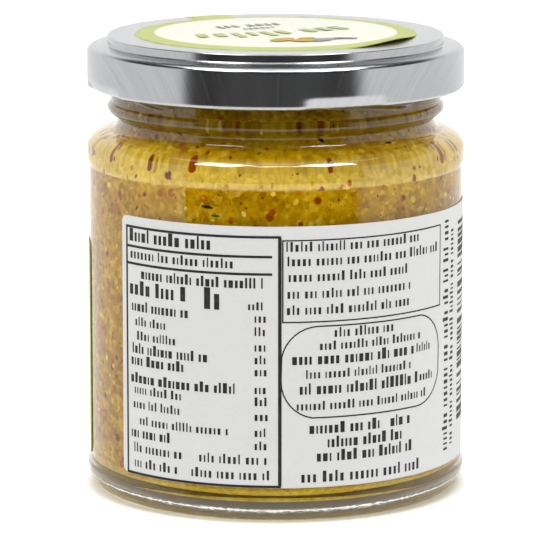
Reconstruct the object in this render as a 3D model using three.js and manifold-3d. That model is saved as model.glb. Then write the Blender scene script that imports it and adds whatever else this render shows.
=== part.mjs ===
// A 190 ml glass jar of wholegrain mustard, shut with a 63 mm twist-off lid.
// Millimetres, +Z up. The origin is the middle of the base, and -Y is the side that the back label faces.
// Bearings are degrees round the axis, from -Y towards +X.
import * as THREE from "three";
import { mergeVertices } from "three/addons/utils/BufferGeometryUtils.js";
import Module from "manifold-3d";

const FACETS = 72; // flats round every turned piece

// Glass outside: bearing ring, heel, recessed label panel, shoulder, neck and the bead under the lid.
const RING_INNER_R = 26.5;
const RING_OUTER_R = 29.8;
const PUNT_RISE = 1.5; // push-up in the middle of the base
const HEEL_R = 33.6;
const HEEL_ARC_H = 4.2;
const HEEL_TOP_Z = 4.4;
const PANEL_R = 32.95;
const PANEL_LOW_Z = 6.0;
const PANEL_HIGH_Z = 57.8;
const SHOULDER_R = 33.35;
const SHOULDER_LOW_Z = 59.4;
const SWELL_HALF_WAY = 0.75; // share of the step out to the shoulder that is made half way up
const SHOULDER_ARC_Z = 60.9;
const SHOULDER_ARC_DEPTH = 6.9;
const SHOULDER_ARC_H = 3.4;
const SHOULDER_ARC_END = 60; // degrees of the shoulder arc before the neck fillet takes over
const NECK_R = 28.06;
const NECK_FILLET_R = 1.6;
const NECK_LOW_Z = 65.5;
const NECK_HIGH_Z = 66.3;
const BEAD_R = 29.7;
const BEAD_Z = 68;
const BEAD_DEPTH = 1.7;
const BEAD_H = 1.4;
const BEAD_ARC_LOW = -75; // degrees of the bead's rounding, below and above its widest ring
const BEAD_ARC_HIGH = 50;
const LIP_R = 29.1;
const LIP_TOP_Z = 78.2;
const LIP_ROUND_H = 1.5;

// Glass inside: mouth, a shoulder that is gentler than the outer one, straight wall and rounded floor.
const BORE_R = 25.9;
const WALL_R = 30.65;
const INNER_SHOULDER_LOW_Z = 56;
const INNER_SHOULDER_HIGH_Z = 67;
const INNER_SHOULDER_STEPS = 5;
const FLOOR_Z = 3.2;
const FLOOR_CORNER_R = 3.2;
const FLOOR_CROWN = 0.5;

// Mustard, filled to just under the lid.
const FILL_TOP_Z = 76.4;
const FILL_GAP = 0.2;

// Lid, heights from its lower edge: curl, straight skirt, rounded shoulder, sealing ledge and raised panel.
const LID_Z = 71.35;
const LID_R = 33.2;
const LID_SHEET = 0.5;
const CURL_H = 1.6;
const CURL_DEPTH = 0.9;
const SKIRT_H = 6.4;
const LID_SHOULDER_DEPTH = 1.5;
const LID_SHOULDER_H = 1.05;
const LID_SHOULDER_ARC = 81; // degrees, where the ledge starts its slope up to the riser
const LEDGE_H = 7.7; // at the foot of the riser
const RISER_R = 29.6;
const RISER_ROUND = 0.2;
const LID_PANEL_H = 9.2;
const LINER_UNDER_H = 7.15; // underside of the sealing ring, just clear of the glass lip
const LINER_INNER_R = 25.4;
const LINER_OUTER_R = 30.2;

// Lugs: stretches of the lower skirt that are pressed in to grip the thread.
const LUGS = 4;
const LUG_BEARING = 21.9;
const LUG_HALF_WIDTH = 10; // degrees at full depth on each side of the middle
const LUG_FLANK = 5; // degrees
const LUG_PRESS = 0.7;
const LUG_H = 2.4;

// Paper: the lid's round sticker with its seal strip, and the two labels wrapped round the glass.
const PAPER = 0.15;
const GLUE = 0.05;
const STICKER_R = 24.8;
const STICKER_FLAT_R = 17; // outside this radius the edge is free to lift
const STICKER_LIFT = 0.7;
const LIFT_BEARING = 57;
const LIFT_HALF_WIDTH = 32; // degrees
const STRIP_W = 8;
const STRIP_W_STEPS = 4;
const STRIP_BEARING = 206;
const STRIP_ROOT_R = 14; // the strip is one piece with the sticker from here outwards
const STRIP_SHOULDER_ARC = 60; // degrees of the lid's shoulder that the strip lies on
const STRIP_END_Z = 52.5;
const BACK_LABEL = { from: -53, to: 107, low: 6.3, high: 51.7 };
const FRONT_LABEL = { from: 142, to: 278.5, low: 6, high: 44.2 };
const LABEL_CORNER_R = 1.3;
const LABEL_CORNER_STEPS = 3;
const LABEL_STEP = 5; // degrees between the columns of a wrapped label

const { degToRad, radToDeg, lerp, smoothstep, euclideanModulo } = THREE.MathUtils;
const wasm = await Module();
wasm.setup();

/** A profile point: r from the axis, z up. */
function point(r, z) {
  return new THREE.Vector2(r, z);
}

/** Points along an ellipse of half-axes a and b round (r, z), between two angles in degrees. */
function arc(r, z, a, b, from, to, steps) {
  return Array.from({ length: steps + 1 }, (_, i) => {
    const t = degToRad(lerp(from, to, i / steps));
    return point(r + a * Math.cos(t), z + b * Math.sin(t));
  });
}

/** A profile turned round +Z, its first column at bearing 0. */
function turned(profile) {
  return new THREE.LatheGeometry(profile, FACETS).rotateX(Math.PI / 2);
}

/** The geometry with each vertex moved by a function that changes it in place. */
function reshaped(geometry, move) {
  const position = geometry.getAttribute("position");
  const v = new THREE.Vector3();
  for (let i = 0; i < position.count; i++) {
    move(v.fromBufferAttribute(position, i));
    position.setXYZ(i, v.x, v.y, v.z);
  }
  return geometry;
}

/** Degrees between a point's bearing and a given one, 0 to 180. */
function degreesFrom(v, bearing) {
  const turn = euclideanModulo(radToDeg(Math.atan2(v.x, -v.y)) - bearing, 360);
  return Math.min(turn, 360 - turn);
}

/** Two geometries joined into one closed body. */
function joined(a, b) {
  const [first, second] = [a, b].map((geometry) => {
    geometry.deleteAttribute("normal");
    geometry.deleteAttribute("uv");
    const merged = mergeVertices(geometry);
    const vertProperties = new Float32Array(merged.attributes.position.array);
    const triVerts = new Uint32Array(merged.index.array);
    return new wasm.Manifold(new wasm.Mesh({ numProp: 3, vertProperties, triVerts }));
  });
  const mesh = first.add(second).getMesh();
  const geometry = new THREE.BufferGeometry();
  geometry.setAttribute("position", new THREE.BufferAttribute(mesh.vertProperties, mesh.numProp));
  return geometry.setIndex(new THREE.BufferAttribute(mesh.triVerts, 1));
}

/** The inside of the jar from the bore down to the middle of the floor, drawn in by a clearance. */
function insideProfile(clearance) {
  const shoulder = Array.from({ length: INNER_SHOULDER_STEPS + 1 }, (_, i) => {
    const z = lerp(INNER_SHOULDER_HIGH_Z, INNER_SHOULDER_LOW_Z, i / INNER_SHOULDER_STEPS);
    const drawnIn = smoothstep(z, INNER_SHOULDER_LOW_Z, INNER_SHOULDER_HIGH_Z);
    return point(lerp(WALL_R, BORE_R, drawnIn) - clearance, z);
  });
  const corner = FLOOR_CORNER_R - clearance;
  return [
    ...shoulder,
    ...arc(WALL_R - FLOOR_CORNER_R, FLOOR_Z + FLOOR_CORNER_R, corner, corner, 0, -90, 4),
    point(0, FLOOR_Z + FLOOR_CROWN + clearance),
  ];
}

/** The swell from the label panel out to the shoulder, steep at first, at a height above the glass. */
function swell(above) {
  return [
    point(PANEL_R + above, PANEL_HIGH_Z),
    point(lerp(PANEL_R, SHOULDER_R, SWELL_HALF_WAY) + above, (PANEL_HIGH_Z + SHOULDER_LOW_Z) / 2),
    point(SHOULDER_R + above, SHOULDER_LOW_Z),
  ];
}

function glassProfile() {
  const shoulderR = SHOULDER_R - SHOULDER_ARC_DEPTH;
  const lipHalf = (LIP_R - BORE_R) / 2;
  return [
    ...arc(0, 0, RING_INNER_R, PUNT_RISE, 90, 0, 4),
    ...arc(RING_OUTER_R, HEEL_ARC_H, HEEL_R - RING_OUTER_R, HEEL_ARC_H, -90, 0, 4),
    point(HEEL_R, HEEL_TOP_Z),
    point(PANEL_R, PANEL_LOW_Z),
    ...swell(0),
    ...arc(shoulderR, SHOULDER_ARC_Z, SHOULDER_ARC_DEPTH, SHOULDER_ARC_H, 0, SHOULDER_ARC_END, 4),
    ...arc(NECK_R + NECK_FILLET_R, NECK_LOW_Z, NECK_FILLET_R, NECK_FILLET_R, -90, -180, 3),
    point(NECK_R, NECK_HIGH_Z),
    ...arc(BEAD_R - BEAD_DEPTH, BEAD_Z, BEAD_DEPTH, BEAD_H, BEAD_ARC_LOW, BEAD_ARC_HIGH, 4),
    ...arc(LIP_R - lipHalf, LIP_TOP_Z - LIP_ROUND_H, lipHalf, LIP_ROUND_H, 0, 180, 4),
    ...insideProfile(0),
  ];
}

function mustardProfile() {
  const fill = [point(0, FILL_TOP_Z), point(BORE_R - FILL_GAP, FILL_TOP_Z), ...insideProfile(FILL_GAP)];
  return fill.reverse();
}

function lidProfile() {
  const inside = LID_R - LID_SHEET;
  return [
    point(0, LID_PANEL_H - LID_SHEET),
    point(LINER_INNER_R, LID_PANEL_H - LID_SHEET),
    point(LINER_INNER_R, LINER_UNDER_H),
    point(LINER_OUTER_R, LINER_UNDER_H),
    point(inside, SKIRT_H - LID_SHEET),
    point(inside, LUG_H),
    point(inside, CURL_H),
    ...arc(LID_R - CURL_DEPTH, CURL_H / 2, CURL_DEPTH, CURL_H / 2, 150, 360, 5),
    point(LID_R, LUG_H),
    ...arc(LID_R - LID_SHOULDER_DEPTH, SKIRT_H, LID_SHOULDER_DEPTH, LID_SHOULDER_H, 0, LID_SHOULDER_ARC, 4),
    point(RISER_R, LEDGE_H),
    point(RISER_R, LID_PANEL_H - RISER_ROUND),
    point(RISER_R - RISER_ROUND, LID_PANEL_H),
    point(0, LID_PANEL_H),
  ];
}

/** Presses the lugs into the lower skirt: full depth at the edge, none at the top of the lug. */
function pressLugs(v) {
  const bearing = Math.round(degreesFrom(v, 0) / (360 / LUGS)) * (360 / LUGS);
  const off = Math.min(degreesFrom(v, bearing), degreesFrom(v, -bearing));
  const across = 1 - smoothstep(off, LUG_HALF_WIDTH, LUG_HALF_WIDTH + LUG_FLANK);
  const r = Math.hypot(v.x, v.y);
  const down = v.z < LUG_H && r > LINER_OUTER_R ? 1 - v.z / LUG_H : 0;
  const pressed = (r - LUG_PRESS * across * down) / r;
  v.x *= pressed;
  v.y *= pressed;
}

/** Lifts the sticker's free edge off the lid on one side. */
function liftEdge(v) {
  const off = degreesFrom(v, LIFT_BEARING) / LIFT_HALF_WIDTH;
  const along = off < 1 ? Math.cos((off * Math.PI) / 2) ** 2 : 0;
  v.z += STICKER_LIFT * along * smoothstep(Math.hypot(v.x, v.y), STICKER_FLAT_R, STICKER_R) ** 2;
}

/** The round sticker lying on the lid's panel. */
function stickerDisc() {
  const low = LID_Z + LID_PANEL_H + GLUE;
  const radii = [0, STICKER_FLAT_R, (STICKER_FLAT_R + STICKER_R) / 2, STICKER_R];
  const under = radii.map((r) => point(r, low));
  const top = radii.map((r) => point(r, low + PAPER)).reverse();
  return reshaped(turned([...under, ...top]), liftEdge);
}

/** The seal strip's path in r and z, from the glass up to the lid's panel, at a height above both. */
function stripPath(above) {
  const shoulderR = LID_R - LID_SHOULDER_DEPTH;
  const a = LID_SHOULDER_DEPTH + above;
  const b = LID_SHOULDER_H + above;
  return [
    point(PANEL_R + above, STRIP_END_Z),
    ...swell(above),
    point(SHOULDER_R + above, SHOULDER_ARC_Z),
    point(LID_R + above, LID_Z + CURL_H),
    ...arc(shoulderR, LID_Z + SKIRT_H, a, b, 0, STRIP_SHOULDER_ARC, 3),
    point(RISER_R - RISER_ROUND / 2, LID_Z + LID_PANEL_H + above),
    point(STICKER_R, LID_Z + LID_PANEL_H + above),
    point(STRIP_ROOT_R, LID_Z + LID_PANEL_H + above),
  ];
}

/** The seal strip: a band of constant width carried along its path, curved round the axis. */
function sealStrip() {
  const under = stripPath(GLUE);
  const over = stripPath(GLUE + PAPER);
  const steps = under.length - 1;
  return reshaped(new THREE.BoxGeometry(STRIP_W, 1, 1, STRIP_W_STEPS, steps, 1), (v) => {
    const at = (v.z > 0 ? over : under)[Math.round((v.y + 0.5) * steps)];
    v.set(v.x, -Math.sqrt(at.x ** 2 - v.x ** 2), at.y);
  }).rotateZ(degToRad(STRIP_BEARING));
}

/** A label wrapped round the glass with its middle at bearing 0, its corners rounded. */
function wrappedLabel({ from, to, low, high }) {
  const inner = PANEL_R + GLUE;
  const half = degToRad(to - from) / 2;
  const corner = LABEL_CORNER_R / inner;
  const columns = Math.ceil((to - from) / LABEL_STEP) + 2 * LABEL_CORNER_STEPS;
  const place = (i) => {
    const fromEnd = Math.min(i, columns - i);
    const t = (Math.min(fromEnd / LABEL_CORNER_STEPS, 1) * Math.PI) / 2;
    const share = (i - LABEL_CORNER_STEPS) / (columns - 2 * LABEL_CORNER_STEPS);
    const side = i < columns / 2 ? -1 : 1;
    const ends = side * (half - corner * (1 - Math.cos(t)));
    const angle = fromEnd < LABEL_CORNER_STEPS ? ends : lerp(corner - half, half - corner, share);
    return { angle, cut: LABEL_CORNER_R * (1 - Math.sin(t)) };
  };
  return reshaped(new THREE.BoxGeometry(1, 1, 1, columns, 1, 1), (v) => {
    const { angle, cut } = place(Math.round((v.x + 0.5) * columns));
    const r = v.z > 0 ? inner + PAPER : inner;
    v.set(r * Math.sin(angle), -r * Math.cos(angle), v.y > 0 ? high - cut : low + cut);
  });
}

/** A named mesh with its own finish, turned to its bearing. */
function piece(name, geometry, { color, roughness, metalness = 0, opacity = 1 }, bearing = 0) {
  const material = new THREE.MeshStandardMaterial({ color, roughness, metalness, opacity });
  material.transparent = opacity < 1;
  const mesh = new THREE.Mesh(geometry, material);
  mesh.name = name;
  mesh.rotation.z = degToRad(bearing);
  return mesh;
}

function label(name, span, finish) {
  return piece(name, wrappedLabel(span), finish, (span.from + span.to) / 2);
}

const clearGlass = { color: 0xdfe6df, roughness: 0.05, opacity: 0.35 };
const wholegrainMustard = { color: 0xb98f1c, roughness: 0.5 };
const brushedTinplate = { color: 0xb9babb, roughness: 0.3, metalness: 1 };
const greenPaper = { color: 0xc8cf81, roughness: 0.6 };
const whitePaper = { color: 0xeeeeec, roughness: 0.6 };

const glass = piece("glass_jar", turned(glassProfile()), clearGlass);
const mustard = piece("mustard", turned(mustardProfile()), wholegrainMustard);
const backLabel = label("back_label", BACK_LABEL, whitePaper);
const frontLabel = label("front_label", FRONT_LABEL, greenPaper);
const sticker = piece("lid_sticker", joined(stickerDisc(), sealStrip()), greenPaper);

const lid = piece("lid", reshaped(turned(lidProfile()), pressLugs), brushedTinplate, LUG_BEARING);
lid.position.z = LID_Z;

const jar = new THREE.Group();
jar.name = "mustard_jar";
jar.add(glass, mustard, backLabel, frontLabel, lid, sticker);

export default jar;
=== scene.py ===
import bmesh
import bpy
import numpy as np
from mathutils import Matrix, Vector


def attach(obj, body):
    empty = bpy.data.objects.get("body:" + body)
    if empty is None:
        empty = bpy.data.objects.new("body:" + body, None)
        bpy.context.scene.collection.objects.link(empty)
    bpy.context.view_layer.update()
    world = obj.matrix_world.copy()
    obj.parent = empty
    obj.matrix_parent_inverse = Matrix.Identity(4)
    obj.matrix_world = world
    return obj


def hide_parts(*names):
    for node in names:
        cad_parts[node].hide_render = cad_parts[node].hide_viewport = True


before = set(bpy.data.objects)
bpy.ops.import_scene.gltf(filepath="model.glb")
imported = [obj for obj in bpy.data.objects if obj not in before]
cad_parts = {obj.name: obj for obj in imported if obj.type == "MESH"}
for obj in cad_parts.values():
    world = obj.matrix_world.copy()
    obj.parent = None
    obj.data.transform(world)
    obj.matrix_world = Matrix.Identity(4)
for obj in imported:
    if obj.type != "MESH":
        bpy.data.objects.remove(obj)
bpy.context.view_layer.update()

# Glass jar: soda-lime glass blown in a mould, with a stippled ring to stand on, a panel set back for the
# labels, a rounded shoulder, and a bead and slanting threads for the lid. One closed skin makes the outside,
# the lip and the inside.
RING_INNER_R = 26.5
RING_OUTER_R = 29.8
PUNT_RISE = 1.5
HEEL_R = 33.6
HEEL_ARC_H = 4.2
HEEL_TOP_Z = 4.4
PANEL_R = 32.95
PANEL_LOW_Z = 6.0
PANEL_HIGH_Z = 57.8
SHOULDER_R = 33.35
SHOULDER_LOW_Z = 59.4
SHOULDER_ARC_Z = 60.9
SHOULDER_ARC_DEPTH = 6.9
SHOULDER_ARC_H = 3.4
SHOULDER_ARC_END = 60
NECK_R = 28.06
NECK_FILLET_R = 1.6
NECK_LOW_Z = 65.5
NECK_HIGH_Z = 66.3
BEAD_R = 29.7
BEAD_Z = 68
BEAD_DEPTH = 1.7
BEAD_H = 1.4
LIP_R = 29.1
LIP_TOP_Z = 78.2
LIP_ROUND_H = 1.5
BORE_R = 25.9
WALL_R = 30.65
INNER_SHOULDER_LOW_Z = 56
INNER_SHOULDER_HIGH_Z = 67
FLOOR_Z = 3.2
FLOOR_CORNER_R = 3.2
FLOOR_CROWN = 0.5
THREADS = 4
THREAD_END = -36  # bearing of the low end of one thread
THREAD_LENGTH = 62  # degrees
THREAD_LOW_Z = 70.5
THREAD_RISE = 3.4
THREAD_RIDGE = 0.9
THREAD_HALF_H = 0.75
GLASS_COLUMNS = 180
MM = 0.001


def eased(x, low, high):
    """Smooth step: 0 below low, 1 above high, and 3t^2 - 2t^3 of the share t between them."""
    t = np.clip((x - low) / (high - low), 0, 1)
    return t * t * (3 - 2 * t)


def arc(r, z, a, b, start, end, count):
    """Points along an ellipse of half-axes a and b round (r, z), between two angles in degrees."""
    t = np.radians(np.linspace(start, end, count))
    return np.stack([r + a * np.cos(t), z + b * np.sin(t)], axis=1)


def divided(points, step):
    """The same run of points, with each stretch longer than the step cut into equal lengths."""
    points = np.asarray(points, float)
    gaps = np.diff(points, axis=0)
    counts = np.maximum(np.ceil(np.linalg.norm(gaps, axis=1) / step), 1).astype(int)
    order = np.arange(counts.sum()) - np.repeat(np.cumsum(counts) - counts, counts)
    share = order / np.repeat(counts, counts)
    inner = np.repeat(points[:-1], counts, axis=0) + np.repeat(gaps, counts, axis=0) * share[:, None]
    return np.vstack([inner, points[-1:]])


def inside_r(z):
    """Radius of the inside wall at a height: the straight wall, drawn in to the bore by a smooth step."""
    return WALL_R + (BORE_R - WALL_R) * eased(z, INNER_SHOULDER_LOW_Z, INNER_SHOULDER_HIGH_Z)


def inside_profile(top_z, beyond):
    """The inside of the jar from a height down to the middle of its floor, moved out into the glass."""
    z = np.linspace(top_z, FLOOR_Z + FLOOR_CORNER_R, 90)
    wall = np.stack([inside_r(z) + beyond, z], axis=1)
    corner = FLOOR_CORNER_R + beyond
    low = arc(WALL_R - FLOOR_CORNER_R, FLOOR_Z + FLOOR_CORNER_R, corner, corner, 0, -90, 16)
    r = np.linspace(WALL_R - FLOOR_CORNER_R, 0, 14)[1:]
    crown = FLOOR_CROWN * (1 - (r / (WALL_R - FLOOR_CORNER_R)) ** 2)
    floor = np.stack([r, FLOOR_Z - beyond + crown], axis=1)
    return np.vstack([wall, low[1:], floor])


def glass_profile():
    """The jar's section from the middle of the push-up, round the heel, up to the lip and down inside."""
    heel_step_z = np.linspace(HEEL_TOP_Z, PANEL_LOW_Z, 9)
    heel_step = HEEL_R + (PANEL_R - HEEL_R) * eased(heel_step_z, HEEL_TOP_Z, PANEL_LOW_Z)
    panel_z = np.linspace(PANEL_LOW_Z, PANEL_HIGH_Z - 0.2, 40)[1:]
    bulge_z = np.linspace(PANEL_HIGH_Z, SHOULDER_LOW_Z, 14)
    to_go = (SHOULDER_LOW_Z - bulge_z) / (SHOULDER_LOW_Z - PANEL_HIGH_Z)
    bulge = SHOULDER_R - (SHOULDER_R - PANEL_R) * to_go ** 2
    lip_half = (LIP_R - BORE_R) / 2
    lip_z = LIP_TOP_Z - LIP_ROUND_H
    bead = arc(BEAD_R - BEAD_DEPTH, BEAD_Z, BEAD_DEPTH, BEAD_H, -75, 50, 18)
    finish_z = np.linspace(bead[-1, 1], lip_z, 32)[1:-1]
    finish = bead[-1, 0] + (LIP_R - bead[-1, 0]) * eased(finish_z, bead[-1, 1], bead[-1, 1] + 1)
    shoulder_r = SHOULDER_R - SHOULDER_ARC_DEPTH
    return np.vstack([
        arc(0, 0, RING_INNER_R, PUNT_RISE, 90, 0, 24),
        arc(RING_OUTER_R, HEEL_ARC_H, HEEL_R - RING_OUTER_R, HEEL_ARC_H, -90, 0, 24),
        np.stack([heel_step, heel_step_z], axis=1),
        np.stack([np.full_like(panel_z, PANEL_R), panel_z], axis=1),
        np.stack([bulge, bulge_z], axis=1),
        arc(shoulder_r, SHOULDER_ARC_Z, SHOULDER_ARC_DEPTH, SHOULDER_ARC_H, 0, SHOULDER_ARC_END, 24),
        arc(NECK_R + NECK_FILLET_R, NECK_LOW_Z, NECK_FILLET_R, NECK_FILLET_R, -90, -180, 12),
        [[NECK_R, NECK_HIGH_Z]],
        bead,
        np.stack([finish, finish_z], axis=1),
        arc(LIP_R - lip_half, lip_z, lip_half, LIP_ROUND_H, 0, 180, 16),
        inside_profile(lip_z, 0)[1:],
    ])


def turned(profile, columns):
    """A profile carried round +Z: its point (r, z) at bearing b goes to (r sin b, -r cos b, z)."""
    b = np.linspace(0, 2 * np.pi, columns + 1)
    r = profile[:, :1]
    z = profile[:, 1:]
    return np.stack(np.broadcast_arrays(r * np.sin(b), -r * np.cos(b), z), axis=-1)


def bearing_of(points):
    """Bearing of each point in degrees, -180 to 180."""
    return np.degrees(np.arctan2(points[..., 0], -points[..., 1]))


def off_bearing(points, bearing):
    """Degrees from a bearing to each point's, -180 to 180."""
    return (bearing_of(points) - bearing + 180) % 360 - 180


def pushed_out(points, distance):
    """The points moved away from the axis by a distance at each."""
    r = np.hypot(points[..., 0], points[..., 1])
    moved = points.copy()
    moved[..., :2] *= ((r + distance) / np.maximum(r, 1e-9))[..., None]
    return moved


def threaded(points):
    """Raises the threads: ridges of bell section that fall evenly along their length and fade at both ends."""
    along = (off_bearing(points, THREAD_END) % (360 / THREADS)) - (360 / THREADS - THREAD_LENGTH)
    share = along / THREAD_LENGTH
    middle_z = THREAD_LOW_Z + THREAD_RISE * (1 - share)
    bell = np.exp(-(((points[..., 2] - middle_z) / THREAD_HALF_H) ** 2))
    ends = eased(share, 0, 0.12) * (1 - eased(share, 0.9, 1))
    outside = np.hypot(points[..., 0], points[..., 1]) > (LIP_R + BORE_R) / 2
    return pushed_out(points, THREAD_RIDGE * bell * ends * outside)


def grid_faces(rows, columns):
    """The quads of a grid of points, each row joined to the next."""
    i = np.arange(rows * columns).reshape(rows, columns)
    return np.stack([i[:-1, :-1], i[:-1, 1:], i[1:, 1:], i[1:, :-1]], axis=-1).reshape(-1, 4)


def linear(code):
    """An sRGB hex colour as linear RGBA: c / 12.92 up to 0.04045, and ((c + 0.055) / 1.055)^2.4 above."""
    srgb = np.array([int(code[i:i + 2], 16) for i in (1, 3, 5)]) / 255
    value = np.where(srgb <= 0.04045, srgb / 12.92, ((srgb + 0.055) / 1.055) ** 2.4)
    return (*value.tolist(), 1.0)


def add(tree, kind, inputs=None, stops=None, **settings):
    """Adds a shader node, gives it its settings and ramp stops, and links or sets its inputs by name."""
    node = tree.nodes.new("ShaderNode" + kind)
    for name, value in settings.items():
        setattr(node, name, value)
    for i, (at, colour) in enumerate(stops or ()):
        ramp = node.color_ramp.elements
        stop = ramp[i] if i < 2 else ramp.new(at)
        stop.position = at
        stop.color = linear(colour)
    for socket, value in (inputs or {}).items():
        if isinstance(value, bpy.types.NodeSocket):
            tree.links.new(value, node.inputs[socket])
        else:
            node.inputs[socket].default_value = value
    return node


def new_material(name):
    """An empty node material: its tree, and its output node."""
    material = bpy.data.materials.new(name)
    material.use_nodes = True
    material.node_tree.nodes.clear()
    return material, material.node_tree, add(material.node_tree, "OutputMaterial")


def piece(name, points, faces, material, slot, node=None, uv=None, closed=True, sharp=35):
    """A mesh of points in mm, welded at its seams and poles, faces outwards, fixed to the jar's body."""
    mesh = bpy.data.meshes.new(name)
    mesh.from_pydata((points.reshape(-1, 3) * MM).tolist(), [], faces.tolist())
    if uv is not None:
        corners = np.empty(len(mesh.loops), np.int32)
        mesh.loops.foreach_get("vertex_index", corners)
        layer = mesh.uv_layers.new(name="flat")
        layer.data.foreach_set("uv", uv.reshape(-1, 2)[corners].astype(np.float32).ravel())
    shell = bmesh.new()
    shell.from_mesh(mesh)
    bmesh.ops.remove_doubles(shell, verts=shell.verts, dist=1e-7)
    if closed:
        bmesh.ops.recalc_face_normals(shell, faces=shell.faces)
    shell.to_mesh(mesh)
    shell.free()
    mesh.shade_smooth()
    mesh.set_sharp_from_angle(angle=np.radians(sharp))
    mesh.materials.append(material)
    made = bpy.data.objects.new(name, mesh)
    bpy.context.collection.objects.link(made)
    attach(made, "root")
    if node:
        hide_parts(node)
    return made


def clear_glass():
    """Moulded soda-lime glass: clear, faintly uneven, with pressed dots round the ring that it stands on.
    Light for what is inside goes straight through, as shadow rays don't bend."""
    material, tree, out = new_material("moulded_soda_lime_glass")
    place = add(tree, "TexCoord").outputs["Object"]
    height = add(tree, "SeparateXYZ", {0: place}).outputs["Z"]
    waves = add(tree, "TexNoise", {"Vector": place, "Scale": 90, "Detail": 1})
    dots = add(tree, "TexVoronoi", {"Vector": place, "Scale": 1700}, feature="SMOOTH_F1")
    ring = add(tree, "MapRange", {0: height, 1: 1.9 * MM, 2: 3.2 * MM, 3: 1, 4: 0})
    stipple = add(tree, "Math", {0: dots.outputs["Distance"], 1: ring.outputs[0]}, operation="MULTIPLY")
    frosted = add(tree, "MapRange", {0: height, 1: 1.4 * MM, 2: 3.0 * MM, 3: 0.32, 4: 0})
    wavy = add(tree, "Bump", {"Strength": 0.05, "Distance": 0.4 * MM, "Height": waves.outputs[0]})
    dotted = add(tree, "Bump", {"Strength": 0.3, "Distance": 0.15 * MM, "Height": stipple.outputs[0],
                                "Normal": wavy.outputs[0]})
    glass = add(tree, "BsdfPrincipled", {
        "Base Color": linear("#F6F8F4"), "Roughness": frosted.outputs[0],
        "IOR": 1.52, "Transmission Weight": 1.0,
        "Normal": dotted.outputs[0]})
    through = add(tree, "BsdfTransparent", {"Color": linear("#F4F6F0")})
    shadow = add(tree, "LightPath").outputs["Is Shadow Ray"]
    both = add(tree, "MixShader", {0: shadow, 1: glass.outputs[0], 2: through.outputs[0]})
    tree.links.new(both.outputs[0], out.inputs["Surface"])
    return material


glass_grid = threaded(turned(glass_profile(), GLASS_COLUMNS))
piece("glass_jar_shell", glass_grid, grid_faces(*glass_grid.shape[:2]), clear_glass(), "clear_glass",
      "glass_jar", sharp=60)

# Mustard: a coarse moist paste of ground yellow seed that fills the jar to just under the lid. It lies on the
# glass everywhere, so its skin reaches a hair into the wall.
FILL_TOP_Z = 76.4
INTO_WALL = 0.03
PAINTED_LIGHT_RING_FROM_Z = 57.9  # painted light: a ring under the shoulder painted paler than the rest, where the shoulder's glass gathers the lamps' light onto the paste
PAINTED_LIGHT_RING_TO_Z = 61.4
PAINTED_LIGHT_RING_LOW_EDGE = 0.4  # heights over which the ring starts and fades
PAINTED_LIGHT_RING_HIGH_EDGE = 1.2
PAINTED_LIGHT_RING_SHARE = 0.5
PAINTED_LIGHT_FOOT_FROM_Z = 7.0  # painted light: the paste is painted paler again down to the floor
PAINTED_LIGHT_FOOT_TO_Z = 4.5
PAINTED_LIGHT_FOOT_SHARE = 0.6
# Painted shade: the paste and seeds are painted darker up the neck, where the lid's skirt shades them.
PAINTED_SHADE_LOW_Z = 64
PAINTED_SHADE_HIGH_Z = 71
PAINTED_SHADE_SHARE = 0.38  # share of the paste's own light left at the top: painted shade where the lid shades the neck


def painted_neck_shade(tree, height):
    """How light the mustard is: as it was made up to the shoulder, and painted darker up the neck, a painted
    shade where the lid's skirt shades it."""
    darker = add(tree, "MapRange", {
        0: height, 1: PAINTED_SHADE_LOW_Z * MM, 2: PAINTED_SHADE_HIGH_Z * MM, 3: 1.0, 4: PAINTED_SHADE_SHARE})
    return darker.outputs[0]


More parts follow.
